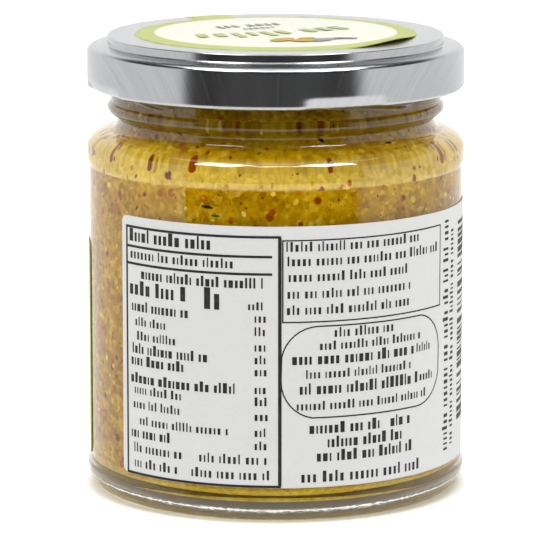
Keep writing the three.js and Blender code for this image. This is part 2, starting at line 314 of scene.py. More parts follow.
def mustard_paste():
    """Coarse ground mustard: golden paste with paler bran, ochre patches and blurred seeds under the skin,
    painted paler in a ring under the shoulder and at the foot (painted light) and darker up the neck (painted
    shade).
    """
    material, tree, out = new_material("coarse_ground_mustard")
    place = add(tree, "TexCoord").outputs["Object"]
    clouds = add(tree, "TexNoise", {"Vector": place, "Scale": 130, "Detail": 3, "Roughness": 0.6})
    paste = add(tree, "ValToRGB", {0: clouds.outputs[0]},
                stops=[(0.3, "#8E6000"), (0.48, "#AC7F00"), (0.62, "#BC9304"), (0.75, "#CAA512")])
    bits = add(tree, "TexVoronoi", {"Vector": place, "Scale": 950, "Randomness": 1.0}, feature="F1")
    tone = add(tree, "SeparateColor", {0: bits.outputs["Color"]}).outputs[0]
    bran = add(tree, "ValToRGB", {0: tone},
               stops=[(0.0, "#825800"), (0.3, "#A87D00"), (0.7, "#BA9106"), (0.92, "#D4B12A"),
                      (1.0, "#E0C450")])
    ground = add(tree, "MixRGB", {0: 0.42, 1: paste.outputs[0], 2: bran.outputs[0]})
    fine = add(tree, "TexNoise", {"Vector": place, "Scale": 1100, "Detail": 4, "Roughness": 0.65})
    speckle = add(tree, "MapRange", {0: fine.outputs[0], 1: 0.3, 2: 0.7, 3: 0.74, 4: 1.26})
    height = add(tree, "SeparateXYZ", {0: place}).outputs["Z"]
    # painted shade: darker up the neck under the lid
    light = add(tree, "Math", {0: speckle.outputs[0], 1: painted_neck_shade(tree, height)}, operation="MULTIPLY")
    seeds = add(tree, "TexVoronoi", {"Vector": place, "Scale": 210, "Randomness": 1.0}, feature="F1")
    sunk = add(tree, "MapRange", {0: seeds.outputs["Distance"], 1: 0.12, 2: 0.3, 3: 0.5, 4: 0.0},
               interpolation_type="SMOOTHSTEP")
    kinds = add(tree, "SeparateColor", {0: seeds.outputs["Color"]}).outputs[1]
    some = add(tree, "Math", {0: kinds, 1: 0.6}, operation="GREATER_THAN")
    blur = add(tree, "Math", {0: sunk.outputs[0], 1: some.outputs[0]}, operation="MULTIPLY")
    seeded = add(tree, "MixRGB", {0: blur.outputs[0], 1: ground.outputs[0], 2: linear("#9C4E0C")})
    # Painted light: a paler ring under the shoulder and a paler foot, mixed towards a light paste colour.
    painted_light_ring_low = add(tree, "MapRange", {
        0: height, 1: PAINTED_LIGHT_RING_FROM_Z * MM, 2: (PAINTED_LIGHT_RING_FROM_Z + PAINTED_LIGHT_RING_LOW_EDGE) * MM, 3: 0.0, 4: PAINTED_LIGHT_RING_SHARE})
    painted_light_ring_high = add(tree, "MapRange", {
        0: height, 1: (PAINTED_LIGHT_RING_TO_Z - PAINTED_LIGHT_RING_HIGH_EDGE) * MM, 2: PAINTED_LIGHT_RING_TO_Z * MM, 3: 1.0, 4: 0.0})
    ring = add(tree, "Math", {0: painted_light_ring_low.outputs[0], 1: painted_light_ring_high.outputs[0]}, operation="MULTIPLY")
    # painted light at the foot
    foot = add(tree, "MapRange", {
        0: height, 1: PAINTED_LIGHT_FOOT_TO_Z * MM, 2: PAINTED_LIGHT_FOOT_FROM_Z * MM, 3: PAINTED_LIGHT_FOOT_SHARE, 4: 0.0})
    pale = add(tree, "Math", {0: ring.outputs[0], 1: foot.outputs[0]}, operation="MAXIMUM")
    # the painted light, as a paler paste
    painted_light_paste = add(tree, "MixRGB", {0: pale.outputs[0], 1: seeded.outputs[0], 2: linear("#E8CC5E")})
    colour = add(tree, "MixRGB", {0: 1.0, 1: painted_light_paste.outputs[0], 2: light.outputs[0]}, blend_type="MULTIPLY")
    lumps = add(tree, "Bump", {"Strength": 0.25, "Distance": 0.15 * MM, "Height": bits.outputs["Distance"]})
    paste_shader = add(tree, "BsdfPrincipled", {
        "Base Color": colour.outputs[0], "Roughness": 0.6, "Specular IOR Level": 0.0,
        "Normal": lumps.outputs[0]})
    tree.links.new(paste_shader.outputs[0], out.inputs["Surface"])
    return material


fill_r = np.linspace(0, BORE_R + INTO_WALL, 14)[:-1]
fill_top = np.stack([fill_r, np.full_like(fill_r, FILL_TOP_Z)], axis=1)
mustard_grid = turned(np.vstack([fill_top, inside_profile(FILL_TOP_Z, INTO_WALL)]), 144)
piece("mustard_paste", mustard_grid, grid_faces(*mustard_grid.shape[:2]), mustard_paste(),
      "wholegrain_mustard", "mustard")

# Seeds and bits in the mustard: whole brown seeds, split yellow seed and bran, dark specks of husk, and flakes
# of dried herb. Those that show are pressed flat against the glass, and the rest of each is in the paste.
SEEN_FROM_Z = 6.5
SEEN_TO_Z = 71.0
BALL_RINGS = 5
BALL_SIDES = 8
AT_WALL = 0.06  # how far they reach past the inside wall, a hair more than the paste


def grains(count, length, rng, width_share=(0.8, 1.0), depth=(0.15, 0.5)):
    """Ellipsoids on the inside wall: an eight-sided ball with its pole facing out, stretched along the wall,
    turned at random, sunk by a share of its size and cut flat where it meets the glass."""
    rings = np.linspace(0, np.pi, BALL_RINGS)
    sides = np.linspace(0, 2 * np.pi, BALL_SIDES + 1)
    ring, side = np.meshgrid(rings, sides, indexing="ij")
    ball = np.stack([np.sin(ring) * np.cos(side), np.sin(ring) * np.sin(side), np.cos(ring)], axis=-1)
    half = rng.uniform(*length, count) / 2
    width = half * rng.uniform(*width_share, count)
    turn = rng.uniform(0, np.pi, count)
    z = rng.uniform(SEEN_FROM_Z, SEEN_TO_Z, count)
    bearing = rng.uniform(0, 2 * np.pi, count)
    sunk = width * rng.uniform(*depth, count)
    shape = (count, 1, 1)
    along = ball[..., 0] * half.reshape(shape)
    across = ball[..., 1] * width.reshape(shape)
    out = ball[..., 2] * width.reshape(shape) - sunk.reshape(shape)
    round_wall = along * np.cos(turn).reshape(shape) - across * np.sin(turn).reshape(shape)
    up = along * np.sin(turn).reshape(shape) + across * np.cos(turn).reshape(shape)
    height = np.minimum(z.reshape(shape) + up, FILL_TOP_Z - 1)
    wall = inside_r(height) - FLOOR_CORNER_R * (1 - np.sqrt(
        1 - (np.clip(FLOOR_Z + FLOOR_CORNER_R - height, 0, FLOOR_CORNER_R) / FLOOR_CORNER_R) ** 2))
    r = np.minimum(wall + out, wall + AT_WALL)
    b = bearing.reshape(shape) + round_wall / WALL_R
    points = np.stack([r * np.sin(b), -r * np.cos(b), height], axis=-1)
    one = grid_faces(BALL_RINGS, BALL_SIDES + 1)
    faces = one[None] + (np.arange(count) * BALL_RINGS * (BALL_SIDES + 1))[:, None, None]
    return points, faces.reshape(-1, 4)


def seed_coat(name, stops, roughness):
    """The skin of a seed or flake: its own shade of the kind's colours, mottled finely, veiled by a film of
    paste towards its rim, and painted darker up the neck like the paste, a painted shade."""
    material, tree, out = new_material(name)
    own = add(tree, "Attribute", attribute_name="shade").outputs["Fac"]
    place = add(tree, "TexCoord").outputs["Object"]
    fine = add(tree, "TexNoise", {"Vector": place, "Scale": 1500, "Detail": 2})
    mottled = add(tree, "MapRange", {0: fine.outputs[0], 1: 0.3, 2: 0.7, 3: -0.15, 4: 0.15})
    shade = add(tree, "Math", {0: own, 1: mottled.outputs[0]}, operation="ADD")
    colour = add(tree, "ValToRGB", {0: shade.outputs[0]}, stops=stops)
    facing = add(tree, "Attribute", attribute_name="facing").outputs["Fac"]
    bare = add(tree, "MapRange", {0: facing, 1: 0.35, 2: 0.85})
    veiled = add(tree, "MixRGB", {0: bare.outputs[0], 1: linear("#AE8206"), 2: colour.outputs[0]})
    height = add(tree, "SeparateXYZ", {0: place}).outputs["Z"]
    # the paste's painted shade up the neck
    painted_shade_coat = add(tree, "MixRGB", {0: 1.0, 1: veiled.outputs[0], 2: painted_neck_shade(tree, height)},
               blend_type="MULTIPLY")
    coat = add(tree, "BsdfPrincipled", {
        "Base Color": painted_shade_coat.outputs[0], "Roughness": roughness, "Specular IOR Level": 0.0})
    tree.links.new(coat.outputs[0], out.inputs["Surface"])
    return material


def scattered(name, made, material, rng):
    """A piece of many grains, each with a random shade of its own."""
    points, faces = made
    scatter = piece(name, points, faces, material, "wholegrain_mustard")
    rings = np.cos(np.linspace(0, np.pi, BALL_RINGS))
    facing = np.concatenate([rings[:1], np.repeat(rings[1:-1], BALL_SIDES), rings[-1:]])
    shades = rng.uniform(0, 1, len(points))
    values = {"shade": np.repeat(shades, len(facing)), "facing": np.tile(facing, len(points))}
    for key, value in values.items():
        held = scatter.data.attributes.new(key, "FLOAT", "POINT")
        held.data.foreach_set("value", value.astype(np.float32))


draw = np.random.default_rng(7)
scattered("brown_mustard_seeds", grains(520, (1.0, 2.4), draw),
          seed_coat("brown_seed_coat",
                    [(0.0, "#6A2A06"), (0.35, "#863806"), (0.7, "#9C4A08"), (1.0, "#AE6A10")], 0.45), draw)
scattered("yellow_seed_bits", grains(2000, (0.8, 2.0), draw, (0.5, 1.0), (0.3, 0.8)),
          seed_coat("yellow_seed_flesh",
                    [(0.0, "#A68004"), (0.4, "#BC9712"), (0.75, "#D0AF28"), (1.0, "#E4C85C")], 0.5), draw)
scattered("husk_specks", grains(900, (0.3, 0.8), draw, (0.5, 1.0), (0.2, 0.6)),
          seed_coat("dark_husk", [(0.0, "#2E1A06"), (0.5, "#5A3208"), (1.0, "#86500E")], 0.55), draw)
scattered("herb_flakes", grains(60, (1.2, 3.2), draw, (0.25, 0.45), (0.3, 0.7)),
          seed_coat("dried_herb", [(0.0, "#20240C"), (0.5, "#3A3E14"), (1.0, "#56561C")], 0.7), draw)

# Lid: a twist-off cap pressed from brushed tinplate, lacquered silver. It has a raised panel, a ledge over the
# lip, a rounded shoulder, a skirt with a curled edge, and four lugs pressed in to grip the threads.
LID_Z = 71.35
LID_R = 33.2
LID_SHEET = 0.5
CURL_H = 1.6
CURL_DEPTH = 0.9
SKIRT_H = 6.4
LID_SHOULDER_DEPTH = 1.5
LID_SHOULDER_H = 1.05
LID_SHOULDER_ARC = 81  # degrees, where the ledge starts its slope up to the riser
LEDGE_H = 7.7
RISER_R = 29.6
RISER_ROUND = 0.2
RISER_FOOT_R = 0.2
LID_PANEL_H = 9.2
LINER_UNDER_H = 7.15
LINER_INNER_R = 25.4
LINER_OUTER_R = 30.2
LUGS = 4
LUG_BEARING = 21.9
LUG_HALF_WIDTH = 10
LUG_FLANK = 5
LUG_PRESS = 0.7
LUG_H = 2.4
LID_COLUMNS = 288


def lid_profile():
    """The lid's section from the middle of its underside, round the curl, and up over the panel."""
    inside = LID_R - LID_SHEET
    under = LID_PANEL_H - LID_SHEET
    liner = [(0, under), (LINER_INNER_R, under), (LINER_INNER_R, LINER_UNDER_H),
             (LINER_OUTER_R, LINER_UNDER_H), (inside, SKIRT_H - LID_SHEET), (inside, CURL_H)]
    curl = arc(LID_R - CURL_DEPTH, CURL_H / 2, CURL_DEPTH, CURL_H / 2, 150, 360, 22)
    foot = arc(RISER_R + RISER_FOOT_R, LEDGE_H + RISER_FOOT_R, RISER_FOOT_R, RISER_FOOT_R, -90, -180, 8)
    rim = arc(RISER_R - RISER_ROUND, LID_PANEL_H - RISER_ROUND, RISER_ROUND, RISER_ROUND, 0, 90, 10)
    shoulder_r = LID_R - LID_SHOULDER_DEPTH
    shoulder = arc(shoulder_r, SKIRT_H, LID_SHOULDER_DEPTH, LID_SHOULDER_H, 0, LID_SHOULDER_ARC, 28)
    skirt = [(LID_R, CURL_H / 2), (LID_R, SKIRT_H)]
    return np.vstack([
        divided(liner, 0.6), curl, divided(skirt, 0.25)[1:], divided(np.vstack([shoulder[1:], foot]), 0.4),
        rim, divided([rim[-1], (0, LID_PANEL_H)], 2)[1:]])


def with_lugs(points):
    """Presses the lugs in: full depth at the lower edge, easing to none at each lug's top and flanks."""
    spacing = 360 / LUGS
    off = np.abs((bearing_of(points) - LUG_BEARING + spacing / 2) % spacing - spacing / 2)
    across = 1 - eased(off, LUG_HALF_WIDTH, LUG_HALF_WIDTH + LUG_FLANK)
    r = np.hypot(points[..., 0], points[..., 1])
    down = (1 - eased(points[..., 2], 0, LUG_H)) * (r > LINER_OUTER_R)
    return pushed_out(points, -LUG_PRESS * across * down)


def brushed_tinplate():
    """Silver-lacquered tinplate brushed straight across the flat sheet before the lid was pressed, so that the
    lines run up the skirt at the front and lean over at the sides. Drawn 4 times coarser than real, to show."""
    material, tree, out = new_material("brushed_tinplate")
    flat = add(tree, "UVMap", uv_map="flat").outputs[0]
    stretched = add(tree, "Mapping", {"Vector": flat, "Scale": (4.0, 0.07, 1.0)})
    lines = add(tree, "TexNoise", {
        "Vector": stretched.outputs[0], "Scale": 1.0, "Detail": 4, "Roughness": 0.65})
    broad = add(tree, "Mapping", {"Vector": flat, "Scale": (0.7, 0.05, 1.0)})
    bands = add(tree, "TexNoise", {"Vector": broad.outputs[0], "Scale": 1.0, "Detail": 2})
    sheen = add(tree, "MixRGB", {0: 0.4, 1: lines.outputs[0], 2: bands.outputs[0]})
    metal = add(tree, "ValToRGB", {0: sheen.outputs[0]}, stops=[(0.3, "#9E9FA1"), (0.7, "#ADAEAF")])
    rough = add(tree, "MapRange", {0: lines.outputs[0], 1: 0.3, 2: 0.7, 3: 0.17, 4: 0.21})
    grooves = add(tree, "Bump", {"Strength": 0.05, "Distance": 0.02 * MM, "Height": lines.outputs[0]})
    along = add(tree, "Tangent", direction_type="UV_MAP", uv_map="flat")
    lid = add(tree, "BsdfPrincipled", {
        "Base Color": metal.outputs[0], "Metallic": 1.0, "Roughness": rough.outputs[0], "Anisotropic": 0.8,
        "Anisotropic Rotation": 0.25, "Tangent": along.outputs[0], "Normal": grooves.outputs[0]})
    tree.links.new(lid.outputs[0], out.inputs["Surface"])
    return material


def blank_uv(profile, columns):
    """Where each point of a turned sheet lay before pressing: its length of profile, out from the axis."""
    length = np.concatenate([[0], np.cumsum(np.linalg.norm(np.diff(profile, axis=0), axis=1))])
    out = length[-1] - length
    b = np.linspace(0, 2 * np.pi, columns + 1)
    return np.stack([out[:, None] * np.sin(b), -out[:, None] * np.cos(b)], axis=-1)


lid_section = lid_profile()
lid_grid = with_lugs(turned(lid_section, LID_COLUMNS))
piece("twist_off_lid", lid_grid + (0, 0, LID_Z), grid_faces(*lid_grid.shape[:2]), brushed_tinplate(),
      "brushed_tinplate", "lid", uv=blank_uv(lid_section, LID_COLUMNS), sharp=50)

# Lid sticker: round printed paper with a strip that runs over the lid's edge down to the glass and seals the
# jar. It is one thin sheet stuck on the panel, and its free edge has lifted a little at the front right.
PAPER = 0.15
GLUE = 0.05
STICKER_R = 24.8
STICKER_FLAT_R = 17
STICKER_LIFT = 0.7
LIFT_BEARING = 57
LIFT_HALF_WIDTH = 32
FIELD_R = 21.4  # the cream middle, inside the green border
FIELD_MIDDLE = (-0.79, -1.62, 0)  # printed a little off the sheet's middle
STRIP_W = 8
STRIP_BEARING = 206
STRIP_SHOULDER_ARC = 60
STRIP_END_Z = 52.5
STICKER_Z = LID_Z + LID_PANEL_H + GLUE


def lifted(points):
    """Lifts the free edge on one side, by a squared cosine round it and a squared smooth step out to it."""
    off = np.clip(np.abs(off_bearing(points, LIFT_BEARING)) / LIFT_HALF_WIDTH, 0, 1)
    out = eased(np.hypot(points[..., 0], points[..., 1]), STICKER_FLAT_R, STICKER_R)
    raised = points.copy()
    raised[..., 2] += STICKER_LIFT * np.cos(off * np.pi / 2) ** 2 * out ** 2
    return raised


def strip_path():
    """The strip's way from the sticker's edge: along the panel, over its rim to the lid's shoulder, down the
    skirt, and on to the glass, always a film of glue above them."""
    rim_z = LID_Z + LID_PANEL_H - RISER_ROUND
    rim = arc(RISER_R - RISER_ROUND, rim_z, RISER_ROUND + GLUE, RISER_ROUND + GLUE, 90, 40, 5)
    shoulder = arc(LID_R - LID_SHOULDER_DEPTH, LID_Z + SKIRT_H, LID_SHOULDER_DEPTH + GLUE,
                   LID_SHOULDER_H + GLUE, STRIP_SHOULDER_ARC, 0, 12)
    glass = [(LID_R + GLUE, LID_Z + CURL_H), (SHOULDER_R + GLUE, SHOULDER_ARC_Z),
             (SHOULDER_R + GLUE, SHOULDER_LOW_Z),
             (PANEL_R + 0.75 * (SHOULDER_R - PANEL_R) + GLUE, (PANEL_HIGH_Z + SHOULDER_LOW_Z) / 2),
             (PANEL_R + GLUE, PANEL_HIGH_Z), (PANEL_R + GLUE, STRIP_END_Z)]
    return divided(np.vstack([[(STICKER_R, STICKER_Z)], rim, shoulder, glass]), 1.0)


def sticker_sheet():
    """The sticker's underside: a disc on polar rings, and a strip whose root shares the disc's rim points.
    Gives points, faces and the flat place of each point on the paper before it was bent."""
    across = np.linspace(-STRIP_W / 2, STRIP_W / 2, 9)
    root = np.degrees(np.arcsin(across / STICKER_R))
    rest = np.linspace(root[-1], root[0] + 360, 76)
    b = np.radians(STRIP_BEARING + np.concatenate([root, rest[1:]]))
    flat_r = np.linspace(0, STICKER_FLAT_R, 5)
    free_r = np.linspace(STICKER_FLAT_R, STICKER_R, 10)[1:]
    r = np.concatenate([flat_r, free_r])[:, None]
    disc = lifted(np.stack(np.broadcast_arrays(r * np.sin(b), -r * np.cos(b), STICKER_Z), axis=-1))
    flat_b = b - np.radians(STRIP_BEARING)
    disc_flat = np.stack([r * np.sin(flat_b), -r * np.cos(flat_b)], axis=-1)
    path = strip_path()
    out = np.sqrt(path[:, :1] ** 2 - across ** 2)
    turn = np.radians(STRIP_BEARING)
    strip = np.stack(np.broadcast_arrays(
        across * np.cos(turn) + out * np.sin(turn),
        across * np.sin(turn) - out * np.cos(turn), path[:, 1:]), axis=-1)
    length = np.concatenate([[0], np.cumsum(np.linalg.norm(np.diff(path, axis=0), axis=1))])
    strip_flat = np.stack(np.broadcast_arrays(across, -out[:1] - length[:, None]), axis=-1)
    strip_faces = grid_faces(*strip.shape[:2]) + disc.shape[0] * disc.shape[1]
    faces = np.vstack([grid_faces(*disc.shape[:2]), strip_faces])
    points = np.vstack([disc.reshape(-1, 3), strip.reshape(-1, 3)])
    return points, faces, np.vstack([disc_flat.reshape(-1, 2), strip_flat.reshape(-1, 2)])


def printed_sticker():
    """Satin label paper, printed green with a cream middle: a faint fibre grain and a soft sheen."""
    material, tree, out = new_material("satin_sticker_paper")
    flat = add(tree, "UVMap", uv_map="flat").outputs[0]
    off_middle = add(tree, "VectorMath", {0: flat, 1: FIELD_MIDDLE}, operation="SUBTRACT").outputs[0]
    from_middle = add(tree, "VectorMath", {0: off_middle}, operation="LENGTH").outputs["Value"]
    inside = add(tree, "MapRange", {0: from_middle, 1: FIELD_R - 0.06, 2: FIELD_R + 0.06, 3: 1, 4: 0})
    fibre = add(tree, "TexNoise", {"Vector": flat, "Scale": 2.2, "Detail": 4, "Roughness": 0.7})
    green = add(tree, "ValToRGB", {0: fibre.outputs[0]}, stops=[(0.3, "#B1BB61"), (0.7, "#BBC470")])
    cream = add(tree, "ValToRGB", {0: fibre.outputs[0]}, stops=[(0.3, "#E6E7D6"), (0.7, "#EBECDD")])
    colour = add(tree, "MixRGB", {0: inside.outputs[0], 1: green.outputs[0], 2: cream.outputs[0]})
    grain = add(tree, "Bump", {"Strength": 0.15, "Distance": 0.03 * MM, "Height": fibre.outputs[0]})
    paper = add(tree, "BsdfPrincipled", {
        "Base Color": colour.outputs[0], "Roughness": 0.5, "Specular IOR Level": 0.35,
        "Normal": grain.outputs[0]})
    tree.links.new(paper.outputs[0], out.inputs["Surface"])
    return material


sheet_points, sheet_faces, sheet_flat = sticker_sheet()
sticker = piece("lid_seal_sticker", sheet_points, sheet_faces, printed_sticker(), "green_paper", "lid_sticker",
                uv=sheet_flat, closed=False)
thick = sticker.modifiers.new("paper", "SOLIDIFY")
thick.thickness = PAPER * MM
thick.offset = 1

# Back label: white uncoated paper with black thermal print, wrapped round the glass. The print is thin ink on
# the paper: ruled frames, rows of short bars in place of words, and a ladder of bars at the right.
LABEL_R = PANEL_R + GLUE + PAPER
BACK_LABEL = (-53, 107, 6.3, 51.7)  # bearings of its ends, and its lower and upper edge
LABEL_CORNER_R = 1.3
INK = 0.02  # height of the ink above and below the paper's face
LINE_W = 0.44


def slabs(under, over, closed=False):
    """Closed sheets, each between two grids of points of one size: both faces, and a rim round their edges.
    Where the grid closes on itself, only its two long edges get a rim."""
    count, rows, columns = under.shape[:3]
    i = np.arange(rows * columns).reshape(rows, columns)
    loop = np.concatenate([i[0], i[1:, -1], i[-1, -2::-1], i[-2::-1, 0]])
    near, far = loop[:-1], loop[1:]
    if closed:
        near = np.concatenate([i[0, :-1], i[-1, 1:]])
        far = np.concatenate([i[0, 1:], i[-1, :-1]])
    face = grid_faces(rows, columns)
    over_at = rows * columns
    rim = np.stack([near, far, far + over_at, near + over_at], axis=-1)
    one = np.vstack([face[:, ::-1], face + over_at, rim])
    points = np.concatenate([under.reshape(count, -1, 3), over.reshape(count, -1, 3)], axis=1)
    faces = one[None] + (np.arange(count) * 2 * over_at)[:, None, None]
    return points, faces.reshape(-1, 4)


def on_glass(u, v, above):
    """A point of a flat label, u round the jar from bearing 0 and v up, wrapped at a height above its face."""
    r = LABEL_R + above
    return np.stack(np.broadcast_arrays(r * np.sin(u / LABEL_R), -r * np.cos(u / LABEL_R), v), axis=-1)


def label_sheet(start, end, low, high):
    """A wrapped label: at each place round the jar it runs from its lower to its upper edge, both cut back by a
    quarter circle at the corners."""
    u0, u1 = np.radians([start, end]) * LABEL_R
    turn = np.radians(np.linspace(0, 90, 8))
    ends = LABEL_CORNER_R * (1 - np.cos(turn))
    between = np.linspace(u0 + LABEL_CORNER_R, u1 - LABEL_CORNER_R, 90)[1:-1]
    u = np.concatenate([u0 + ends, between, (u1 - ends)[::-1]])
    from_end = np.clip(np.minimum(u - u0, u1 - u), 0, LABEL_CORNER_R)
    cut = LABEL_CORNER_R - np.sqrt(LABEL_CORNER_R ** 2 - (LABEL_CORNER_R - from_end) ** 2)
    share = np.linspace(0, 1, 12)[:, None]
    v = (low + cut) + (high - low - 2 * cut) * share
    u = np.broadcast_to(u, v.shape)
    points, faces = slabs(on_glass(u, v, -PAPER)[None], on_glass(u, v, 0)[None])
    flat = np.stack([u, v], axis=-1).reshape(-1, 2)
    return points, faces, np.vstack([flat, flat])


def marks(rows, place, stations=2, rounding=0.0):
    """Ink marks from rows of (u, v, half length, half height, turn in degrees). The half height is scaled by
    (1 - s^2)^rounding along its length s, so that 0 gives a bar, 0.5 an ellipse and 1 a leaf."""
    u, v, length, height, turn = np.array(rows, float).T[:, :, None, None]
    s = np.linspace(-1, 1, stations)
    if rounding:
        s = -np.cos(np.linspace(0, np.pi, stations))
    side = np.array([-1, 1])[:, None]
    along = length * s
    across = height * side * np.clip(1 - s ** 2, 0, 1) ** rounding
    t = np.radians(turn)
    x = u + along * np.cos(t) - across * np.sin(t)
    y = v + along * np.sin(t) + across * np.cos(t)
    return slabs(place(x, y, -INK), place(x, y, INK))


def rule_frame(u0, u1, v0, v1, corner, width, place):
    """A ruled frame with round corners: a closed line whose two edges lie half its width to each side."""
    turns = np.radians(np.arange(0, 360, 10)).reshape(4, 9)
    corner_u = np.array([u1 - corner, u0 + corner, u0 + corner, u1 - corner])[:, None]
    corner_v = np.array([v1 - corner, v1 - corner, v0 + corner, v0 + corner])[:, None]
    round_u = corner_u + corner * np.cos(turns)
    round_v = corner_v + corner * np.sin(turns)
    path = np.stack([round_u, round_v], axis=-1).reshape(-1, 2)
    path = divided(np.vstack([path, path[:1]]), 1.2)
    ahead = np.roll(path[:-1], -1, axis=0) - np.roll(path[:-1], 1, axis=0)
    ahead = np.vstack([ahead, ahead[:1]])
    aside = np.stack([ahead[:, 1], -ahead[:, 0]], axis=1) / np.linalg.norm(ahead, axis=1, keepdims=True)
    edges = path + np.array([-0.5, 0.5])[:, None, None] * width * aside
    u, v = edges[None, ..., 0], edges[None, ..., 1]
    return slabs(place(u, v, -INK), place(u, v, INK), closed=True)


def words(u0, u1, v, height, rng, bold=False):
    """A line of print as bars: words of a few blocks with gaps between, some blocks taller than the rest."""
    gap = height * (0.26 if bold else 0.36)
    rows = []
    at = u0
    left = rng.integers(3, 8)
    while at < u1 - 0.3 * height:
        width = height * rng.uniform(0.2, 0.62 if bold else 0.46)
        tall = rng.random() < 0.25
        top = height * (1.4 if tall else 1.0)
        rows.append((at + width / 2, v - height / 2 + top / 2, width / 2, top / 2, 0))
        left -= 1
        at += width + gap
        if left == 0:
            at += height * 0.5
            left = rng.integers(3, 8)
    return rows


def rules(rows):
    """Straight rules from (u0, v0, u1, v1, width)."""
    made = []
    for u0, v0, u1, v1, width in rows:
        level = abs(u1 - u0) > abs(v1 - v0)
        length = abs(u1 - u0 if level else v1 - v0) / 2 + width / 2
        made.append(((u0 + u1) / 2, (v0 + v1) / 2, length, width / 2, 0 if level else 90))
    return made


def joined(*parts):
    """Several lots of points and faces as one."""
    points = [p.reshape(-1, 3) for p, _ in parts]
    starts = np.cumsum([0] + [len(p) for p in points[:-1]])
    return np.vstack(points), np.vstack([f + s for (_, f), s in zip(parts, starts)])


def label_paper(name, base, shade):
    """Uncoated label paper: near white, with a faint cloudy fibre and a dull face."""
    material, tree, out = new_material(name)
    flat = add(tree, "UVMap", uv_map="flat").outputs[0]
    fibre = add(tree, "TexNoise", {"Vector": flat, "Scale": 1.6, "Detail": 5, "Roughness": 0.75})
    colour = add(tree, "ValToRGB", {0: fibre.outputs[0]}, stops=[(0.3, shade), (0.7, base)])
    grain = add(tree, "Bump", {"Strength": 0.12, "Distance": 0.03 * MM, "Height": fibre.outputs[0]})
    paper = add(tree, "BsdfPrincipled", {
        "Base Color": colour.outputs[0], "Roughness": 0.65, "Specular IOR Level": 0.3,
        "Normal": grain.outputs[0]})
    tree.links.new(paper.outputs[0], out.inputs["Surface"])
    return material


def ink(name, dark, light, roughness=0.6):
    """Dry printing ink: nearly even, a little thinner in places."""
    material, tree, out = new_material(name)
    place = add(tree, "TexCoord").outputs["Object"]
    thin = add(tree, "TexNoise", {"Vector": place, "Scale": 900, "Detail": 3})
    colour = add(tree, "ValToRGB", {0: thin.outputs[0]}, stops=[(0.35, dark), (0.75, light)])
    dry = add(tree, "BsdfPrincipled", {
        "Base Color": colour.outputs[0], "Roughness": roughness, "Specular IOR Level": 0.25})
    tree.links.new(dry.outputs[0], out.inputs["Surface"])
    return material


back_points, back_faces, back_flat = label_sheet(*BACK_LABEL)
piece("back_label_paper", back_points, back_faces, label_paper("white_label_paper", "#C9C9C8", "#C5C5C4"),
      "white_paper", "back_label", uv=back_flat)

# The panel of facts at the left: a ruled frame, a heading with two rules under it, and rows with a column of
# figures at the right, as bars. The other print stands in a box, a round-cornered frame and open lines.
FACTS = (-29.3, 0.7, 6.55, 49.9)
FACT_ROWS = (
    (-28.5, -11.0, 48.2, 1.6, True), (-28.3, -6.0, 45.0, 1.2, False), (-25.6, -2.0, 41.7, 1.3, True),
    (-28.5, -16.1, 39.0, 1.8, True), (-28.0, -15.6, 35.9, 1.3, True), (-27.1, -19.9, 33.3, 1.1, False),
    (-26.7, -17.3, 30.8, 1.1, False), (-27.9, -11.9, 28.5, 1.3, True), (-28.2, -16.0, 26.4, 1.3, True),
    (-28.3, -6.7, 23.3, 1.3, True), (-27.4, -15.9, 21.3, 1.1, False), (-27.7, -16.7, 18.7, 1.1, False),
    (-26.1, -7.8, 15.9, 1.1, False), (-28.3, -18.7, 13.6, 1.3, True), (-27.6, -16.8, 11.0, 1.2, False),
    (-13.5, -1.5, 11.0, 1.2, False), (-27.5, -17.4, 8.3, 1.2, False), (-15.0, -0.9, 8.3, 1.2, False))
FIGURES = ((-12.5, -8.6, 38.5, 2.7, True), (-4.7, -1.2, 37.8, 1.0, False))
FIGURE_U = (-3.6, -1.4)
FIGURE_VS = (35.7, 33.4, 30.7, 28.5, 26.4, 23.3, 21.2, 18.6, 15.8, 13.5)
BOX = (1.2, 34.3, 35.2, 49.3)
BOX_ROWS = (
    (1.8, 28.3, 48.0, 1.2, False), (2.0, 33.1, 45.5, 1.2, False), (2.2, 25.4, 42.8, 1.2, False),
    (2.0, 25.9, 39.9, 1.2, False), (1.9, 26.0, 37.1, 1.2, False))
ROUND_FRAME = (0.9, 33.9, 18.4, 34.4)
ROUND_FRAME_CORNER = 6.5
ROUND_FRAME_ROWS = (
    (10.2, 22.0, 33.0, 1.2, False), (7.6, 28.8, 30.8, 1.1, False), (2.8, 26.6, 28.5, 1.4, True),
    (27.3, 32.2, 28.5, 1.1, False), (5.2, 26.0, 25.9, 1.1, False), (4.1, 27.5, 23.3, 1.4, True),
    (28.2, 32.4, 23.3, 1.1, False), (3.6, 30.2, 20.4, 1.1, False))
OPEN_ROWS = (
    (5.8, 19.6, 16.4, 1.4, True), (21.2, 25.7, 16.4, 1.4, True), (9.0, 23.9, 13.9, 1.4, True),
    (7.1, 26.9, 11.5, 1.4, True), (4.4, 29.4, 7.9, 1.4, False))
SIDE_COLUMNS = ((36.9, 8.8, 49.9, 1.5), (39.5, 9.5, 48.7, 1.2))
LADDER_U = (43.0, 56.0)
LADDER_V = (13.0, 48.3)


